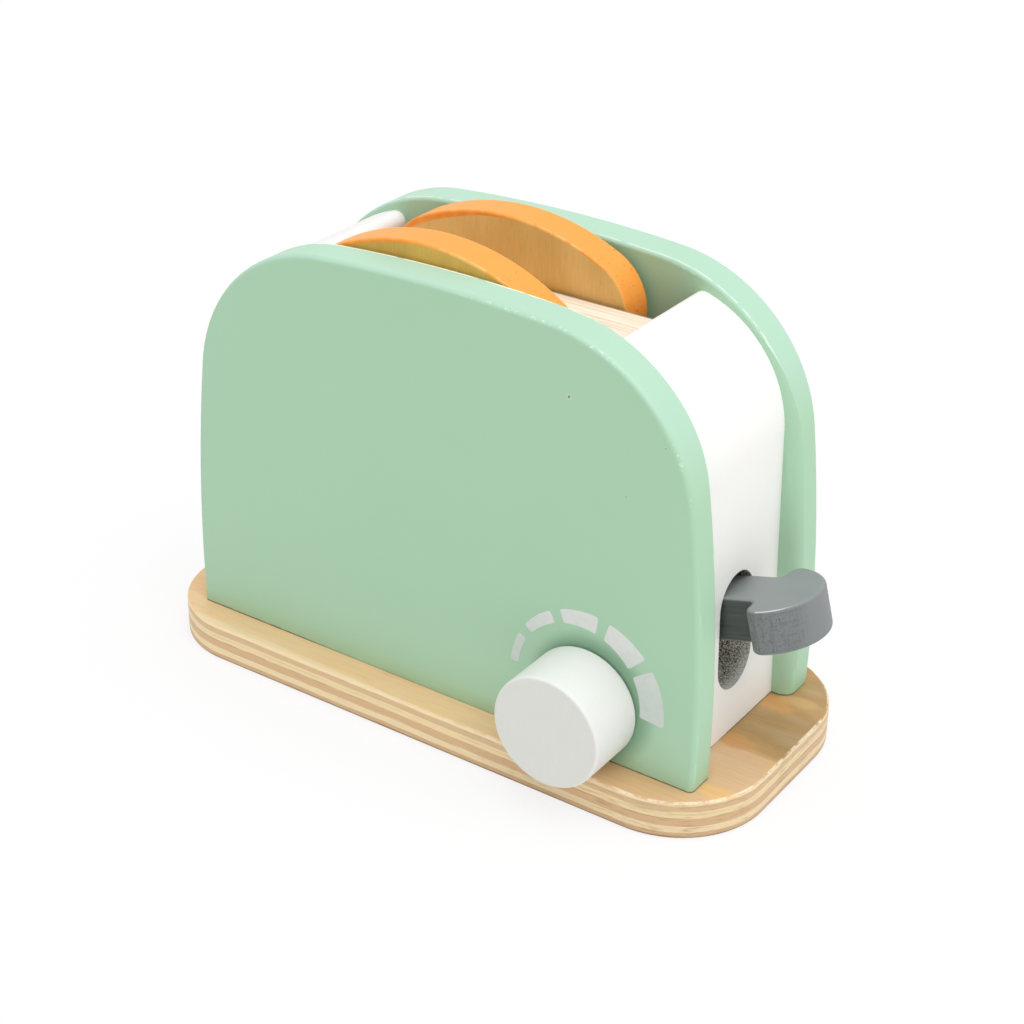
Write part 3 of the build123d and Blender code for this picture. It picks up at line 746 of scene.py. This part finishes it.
class Recipe(Graph):
    """A Geometry Nodes tree whose named inputs are its sizes and the material of what it makes."""

    def __init__(self, name, sizes):
        super().__init__(bpy.data.node_groups.new(name, "GeometryNodeTree"))
        interface = self.tree.interface
        interface.new_socket("Geometry", in_out="INPUT", socket_type="NodeSocketGeometry")
        interface.new_socket("Geometry", in_out="OUTPUT", socket_type="NodeSocketGeometry")
        self.identifiers = {}
        kinds = {size: "NodeSocketFloat" for size in sizes} | {"Material": "NodeSocketMaterial"}
        for key, kind in kinds.items():
            self.identifiers[key] = interface.new_socket(key, in_out="INPUT", socket_type=kind).identifier
        self.inputs = self.add("NodeGroupInput")

    def joined(self, *parts):
        """Several geometries as one. A join has a single socket that takes many links."""
        together = self.tree.nodes.new("GeometryNodeJoinGeometry")
        for part in parts:
            self.tree.links.new(part.socket, together.inputs[0])
        return Wire(self, together.outputs[0])

    def welded(self, *parts):
        """Several geometries as one closed skin, with the points where they meet made one."""
        inputs = {0: self.joined(*parts), "Distance": weld_distance}
        return self.add("GeometryNodeMergeByDistance", inputs=inputs)

    def planted(self, places, shape, size=(1, 1, 1)):
        """A copy of a shape on each loose point."""
        points = self.add("GeometryNodeMeshToPoints", inputs={0: places})
        inputs = {"Points": points, "Instance": shape, "Scale": size}
        return self.add("GeometryNodeInstanceOnPoints", inputs=inputs)

    def end(self, geometry):
        """Every tree ends in plain geometry with its material."""
        solid = self.add("GeometryNodeRealizeInstances", inputs={0: geometry})
        inputs = {"Geometry": solid, "Material": self.inputs["Material"]}
        self.add("NodeGroupOutput", inputs={0: self.add("GeometryNodeSetMaterial", inputs=inputs)})

    def cook(self, name, mesh, values):
        """Runs the tree on a mesh, and returns a new object with the result as a plain mesh."""
        source = add_object(f"{name}_source", mesh)
        modifier = source.modifiers.new("recipe", "NODES")
        modifier.node_group = self.tree
        for key, value in values.items():
            modifier[self.identifiers[key]] = value
        graph = bpy.context.evaluated_depsgraph_get()
        result = bpy.data.meshes.new_from_object(source.evaluated_get(graph))
        bpy.data.objects.remove(source)
        result.transform(Matrix.Scale(METRES, 4))
        print(f"{name}: {len(result.polygons)} faces, {len(result.vertices)} points")
        return add_object(name, result)


# %% [markdown]
# The source of the dial is five loose points. Each carries two numbers of its own, the angle at its middle
# and the angle that it spans, and the tree reads them as attributes. The corners are rounded while the bar
# is still straight.

# %% The tree of the dial
mark_corner_steps = 5
outline_step = 0.3
dial_sizes = (
    "Outer Radius", "Thin Depth", "Thick Depth", "First Angle", "Sweep", "Corner Radius", "Thickness",
)


def dial_recipe():
    recipe = Recipe("printed_dial", dial_sizes)
    given = recipe.inputs

    def own(name):
        kind = {"data_type": "FLOAT"}
        return recipe.add("GeometryNodeInputNamedAttribute", kind, {"Name": name}, "Attribute")

    def depth_at(angle):
        share = (given["First Angle"] - angle) / given["Sweep"]
        return recipe.smooth(share, 0.0, 0.95, given["Thin Depth"], given["Thick Depth"])

    middle = own("middle")
    bar_depth = depth_at(middle)
    bar_place = recipe.join(middle * given["Outer Radius"], bar_depth * -0.5, 0.0)
    bar_size = recipe.join(own("span") * given["Outer Radius"], bar_depth, 1.0)
    spread = recipe.add(
        "GeometryNodeSetPosition", inputs={"Geometry": given["Geometry"], "Position": bar_place}
    )
    square = recipe.add("GeometryNodeCurvePrimitiveQuadrilateral", inputs={"Width": 1.0, "Height": 1.0})
    bars = recipe.add("GeometryNodeRealizeInstances", inputs={0: recipe.planted(spread, square, bar_size)})
    rounded = recipe.add(
        "GeometryNodeFilletCurve",
        {"mode": "POLY"},
        {"Curve": bars, "Count": mark_corner_steps, "Radius": given["Corner Radius"]},
    )
    fine = recipe.add(
        "GeometryNodeResampleCurve", {"mode": "LENGTH"}, {"Curve": rounded, "Length": outline_step}
    )

    place_along, place_across, _ = recipe.split(recipe.add("GeometryNodeInputPosition"))
    angle = place_along / given["Outer Radius"]
    radius = given["Outer Radius"] + place_across / depth_at(own("middle")) * depth_at(angle)
    cosine, sine = recipe.math("COSINE", angle), recipe.math("SINE", angle)
    wrapped = recipe.add(
        "GeometryNodeSetPosition",
        inputs={"Geometry": fine, "Position": recipe.join(cosine * radius, sine * radius, 0.0)},
    )
    flat = recipe.add("GeometryNodeFillCurve", {"mode": "NGONS"}, {"Curve": wrapped})
    raised = recipe.add(
        "GeometryNodeExtrudeMesh",
        inputs={"Mesh": flat, "Offset Scale": given["Thickness"], "Individual": False},
    )
    underside = recipe.add("GeometryNodeFlipFaces", inputs={0: flat})
    recipe.end(recipe.welded(raised, underside))
    return recipe


# %% [markdown]
# ## Print the dial
# The tree now runs on its five points, and the result is stood up against the panel's face. The ink lies a
# little unevenly, and it is brighter on the upper marks.

# %% Print the dial
def loose_points(name, places, numbers):
    """A mesh of points only, each with numbers of its own."""
    mesh = bpy.data.meshes.new(name)
    mesh.from_pydata(places, [], [])
    for key, values in numbers.items():
        mesh.attributes.new(key, "FLOAT", "POINT").data.foreach_set("value", values)
    return mesh


def stand_up(piece, place):
    """Turns a piece that was drawn at the origin, facing up, to face -Y, and moves it to its place."""
    to_place = Matrix.Translation(Vector(place) * METRES)
    piece.data.transform(to_place @ Matrix.Rotation(math.radians(90), 4, "X"))


def make_print_ink():
    ink = Finish("printed_pale_ink", {"Roughness": 0.5, "Specular IOR Level": 0.3})
    uneven = ink.noise(1.4, detail=4, rough=0.6)
    upper = ink.smooth(ink.z, knob_z + 6, knob_z + 16)
    tone = ink.blend(upper, tint(210, 219, 212), tint(228, 230, 226))
    ink.feed(Base_Color=ink.darken(tone, ink.smooth(uneven, 0.35, 0.6, 0.97, 1.01)))
    ink.feed(Normal=ink.bumped(uneven * 0.01))
    return ink


dial_starts = [dial_first_angle - sum(dial_spans[:i]) - i * dial_gap for i in range(len(dial_spans))]
dial_middles = [start - span / 2 for start, span in zip(dial_starts, dial_spans)]
dial_sweep = sum(dial_spans) + dial_gap * (len(dial_spans) - 1)
dial_places = [(0, 0, 0)] * len(dial_spans)
dial_points = loose_points("dial_points", dial_places, {"middle": dial_middles, "span": dial_spans})
dial_marks = dial_recipe().cook("dial_marks", dial_points, {
    "Outer Radius": dial_outer_radius,
    "Thin Depth": dial_depths[0],
    "Thick Depth": dial_depths[1],
    "First Angle": dial_first_angle,
    "Sweep": dial_sweep,
    "Corner Radius": dial_corner_radius,
    "Thickness": print_thickness,
    "Material": make_print_ink().material,
})
stand_up(dial_marks, (knob_x, panel_face_y, knob_z + dial_centre_above_knob))
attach(dial_marks, "toaster_body")


# %% [markdown]
# ## Real screws
# A screw of the CAD model is a cone or a disc on a rod. The real ones have a cross recess and a thread. A
# screw repeats, so one tree makes it: a head cut by a cross, a core, a point, and a small triangle swept
# along a spiral for the thread. It is drawn at the origin, point up, and placed on loose points.
#
# The cut is not clean. The cross is two slots that overlap, and the Boolean's float solver doesn't merge
# them, so the head's flat face stays over the cut and hides it. Cutting the slots one after the other with
# the exact solver gives an open cross.

# %% The tree of a screw
head_sides, core_sides = 40, 24
core_share = 0.74           # radius of the core, as a share of the thread's
ridge_share = 0.2           # size of the ridge, as a share of the thread's radius
point_share = 1.6           # length of the point, in thread radii
point_radius = 0.05
core_start_share = 0.98     # of the head's height, so that the core starts just inside the head
cross_reach_share = 1.15    # of the head's radius
cross_depth_share = 1.3     # of the head's height, half of it above the head
thread_share = 0.96         # of the core's height
thread_steps = 18           # for each turn
screw_sizes = (
    "Head Radius", "Head Height", "Head Top Radius", "Thread Radius", "Length", "Pitch", "Recess Width",
)


def moved(recipe, shape, height):
    """A shape raised by a height."""
    shift = recipe.join(0.0, 0.0, height)
    return recipe.add("GeometryNodeTransform", inputs={"Geometry": shape, "Translation": shift})


def cone(recipe, low_radius, high_radius, low, height, sides):
    """A cone or a rod that stands at a height."""
    inputs = {"Vertices": sides, "Radius Bottom": low_radius, "Radius Top": high_radius, "Depth": height}
    return moved(recipe, recipe.add("GeometryNodeMeshCone", inputs=inputs), low)


def recessed_head(recipe, given):
    """The head, with a cross cut into it that its flat face still covers."""
    reach = given["Head Radius"] * cross_reach_share
    deep = given["Head Height"] * cross_depth_share
    slots = [
        recipe.add("GeometryNodeMeshCube", inputs={"Size": recipe.join(*size)})
        for size in ((reach, given["Recess Width"], deep), (given["Recess Width"], reach, deep))
    ]
    head_radii = given["Head Radius"], given["Head Top Radius"]
    head = cone(recipe, *head_radii, 0.0, given["Head Height"], head_sides)
    cross = recipe.add("GeometryNodeMeshBoolean", {"operation": "UNION"}, {1: recipe.joined(*slots)})
    return recipe.add("GeometryNodeMeshBoolean", {"operation": "DIFFERENCE"}, {0: head, 1: cross})


def wound_thread(recipe, given, height):
    """A triangle swept along a spiral."""
    ridge = given["Thread Radius"] * ridge_share
    radius = given["Thread Radius"] - ridge
    spiral = recipe.add("GeometryNodeCurveSpiral", inputs={
        "Resolution": thread_steps,
        "Rotations": height / given["Pitch"],
        "Start Radius": radius,
        "End Radius": radius,
        "Height": height * thread_share,
    })
    profile = recipe.add("GeometryNodeCurvePrimitiveCircle", inputs={"Resolution": 3, "Radius": ridge})
    inputs = {"Curve": spiral, "Profile Curve": profile, "Fill Caps": True}
    return recipe.add("GeometryNodeCurveToMesh", inputs=inputs)


def screw_recipe():
    recipe = Recipe("cross_recess_screw", screw_sizes)
    given = recipe.inputs
    core_radius = given["Thread Radius"] * core_share
    point_height = given["Thread Radius"] * point_share
    core_start = given["Head Height"] * core_start_share
    core_height = given["Length"] - core_start - point_height
    core = cone(recipe, core_radius, core_radius, core_start, core_height, core_sides)
    point_start = given["Length"] - point_height
    point = cone(recipe, core_radius, point_radius, point_start, point_height, core_sides)
    thread = moved(recipe, wound_thread(recipe, given, core_height), core_start)
    screw = recipe.joined(recessed_head(recipe, given), core, point, thread)
    recipe.end(recipe.planted(given["Geometry"], screw))
    return recipe


# %% [markdown]
# ## Drive the screws
# Four countersunk screws go up into the end blocks from under the board, and one pan head screw holds the
# knob from behind. Their places and lengths come from the CAD model's own screws, which they replace.

# %% Drive the screws
screws = screw_recipe()
shared_sizes = {"Head Height": 2.2, "Thread Radius": 1.74, "Recess Width": 0.9, "Material": steel.material}


def box_middles(node, inset):
    """Places of four like pieces that stand in a rectangle, worked out from the box round them all."""
    low, high = corners(node)
    xs = (low.x + inset, high.x - inset)
    ys = (low.y + inset, high.y - inset)
    return [(x, y, low.z) for x in xs for y in ys]


base_screw_head_radius = 3.5
base_screws_low, base_screws_high = corners("base_screws")
base_screw_points = loose_points("screw_points", box_middles("base_screws", base_screw_head_radius), {})
base_screws = screws.cook("countersunk_screws", base_screw_points, shared_sizes | {
    "Head Radius": base_screw_head_radius,
    "Head Top Radius": 1.75,
    "Length": base_screws_high.z - base_screws_low.z,
    "Pitch": 1.5,
})
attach(base_screws, "toaster_body")
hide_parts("base_screws")

knob_screw_low, knob_screw_high = corners("knob_screw")
knob_screw_point = loose_points("knob_screw_point", [(0, 0, 0)], {})
knob_screw = screws.cook("pan_head_screw", knob_screw_point, shared_sizes | {
    "Head Radius": 2.7,
    "Head Top Radius": 3.3,
    "Length": knob_screw_high.y - knob_screw_low.y,
    "Pitch": 1.2,
})
stand_up(knob_screw, (knob_x, knob_screw_high.y, knob_z))
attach(knob_screw, "dial")
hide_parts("knob_screw")


# %% [markdown]
# ## A white table that keeps a shadow
# If the floor were only bright paint, its tone would depend on the lamps. So what the camera sees is mostly
# plain white light, and the rest is paint that takes the toy's soft shadow. Rays that light the toy meet
# the paint alone, so the white of the floor adds no light.

# %% Floor
floor_half_size = 3000
floor_drop = 0.02
floor_glow = 0.8
floor_tone = 0.9


def plain_rays(graph):
    """1 for the rays that see the white: from the camera, off a mirror or through glass."""
    rays = graph.add("ShaderNodeLightPath")
    seen = graph.math("MAXIMUM", rays["Is Camera Ray"], rays["Is Glossy Ray"])
    return graph.math("MAXIMUM", seen, rays["Is Transmission Ray"])


def make_floor_material():
    material = bpy.data.materials.new("white_floor")
    material.use_nodes = True
    white = Graph(material.node_tree)
    paint = white.add("ShaderNodeBsdfDiffuse", inputs={"Color": (floor_tone, floor_tone, floor_tone, 1)})
    glow = white.add("ShaderNodeEmission", inputs={"Color": (1, 1, 1, 1), "Strength": 1.0})
    surface = white.add("ShaderNodeMixShader", inputs={0: plain_rays(white) * floor_glow, 1: paint, 2: glow})
    white.add("ShaderNodeOutputMaterial", inputs={"Surface": surface})
    return material


def lay_floor():
    side = floor_half_size * METRES
    z = -floor_drop * METRES
    places = [(-side, -side, z), (side, -side, z), (side, side, z), (-side, side, z)]
    mesh = bpy.data.meshes.new("floor")
    mesh.from_pydata(places, [], [(0, 1, 2, 3)])
    mesh.materials.append(make_floor_material())
    return add_object("floor", mesh)


floor = lay_floor()
print(f"floor: {2 * floor_half_size} mm wide, {floor_drop} mm under the board")


# %% [markdown]
# ## Soft light
# Light comes from everywhere, as in a light tent, and a little more of it from above on the lever's side.
# The world is the tent. The rest is one Sun lamp, which lights every part of a face alike, because its rays
# are parallel. Its large angle makes it as soft as a wide panel of light.

# %% World and lamp
tent_strength = 0.6
lamp_direction = (0.185, -0.035, 0.55)
lamp_spread = 60
lamp_strength = 0.58


def make_world():
    world = bpy.data.worlds.new("light_tent")
    bpy.context.scene.world = world
    world.use_nodes = True
    tent = Graph(world.node_tree)
    brightness = tent.smooth(plain_rays(tent), 0.0, 1.0, tent_strength, 1.0)
    light = tent.add("ShaderNodeBackground", inputs={"Color": (1, 1, 1, 1), "Strength": brightness})
    tent.add("ShaderNodeOutputWorld", inputs={"Surface": light})
    print(f"light tent: strength {tent_strength}")


def add_sun(name, towards, spread, strength):
    """A soft lamp far away; a strength of 1 shows a colour as it is written on a face turned to it."""
    light = bpy.data.lights.new(name, "SUN")
    light.angle = math.radians(spread)
    light.energy = strength * math.pi
    lamp = add_object(name, light)
    lamp.rotation_mode = "QUATERNION"
    lamp.rotation_quaternion = Vector(towards).to_track_quat("Z", "Y")
    print(f"{name}: strength {strength}, {spread} degrees wide")


make_world()
add_sun("wide_lamp", lamp_direction, lamp_spread, lamp_strength)


# %% [markdown]
# ## The camera
# The camera looks down at the toy from the front and the lever's side. It is aimed by turning its -Z axis
# to the target, and then rolled a little about the line of sight.

# %% Camera
camera_azimuth = math.radians(34.297)
camera_elevation = math.radians(28.474)
camera_roll = math.radians(0.827)
camera_distance = 415.47
camera_target = Vector((3.53, 0, 39.15))
camera_lens = 73.07

outwards = Vector((
    math.sin(camera_azimuth) * math.cos(camera_elevation),
    -math.cos(camera_azimuth) * math.cos(camera_elevation),
    math.sin(camera_elevation),
))
camera_data = bpy.data.cameras.new("camera")
camera_data.sensor_width = 36
camera_data.lens = camera_lens
camera_data.clip_start = 0.01
camera = add_object("camera", camera_data)
camera.location = (camera_target + outwards * camera_distance) * METRES
camera.rotation_mode = "QUATERNION"
camera.rotation_quaternion = (-outwards).to_track_quat("-Z", "Y") @ Quaternion((0, 0, 1), camera_roll)
bpy.context.scene.camera = camera
bpy.context.scene.view_settings.view_transform = "Standard"
print(f"camera: {camera_distance:.0f} mm from its target, with a lens of {camera_lens:.0f} mm")
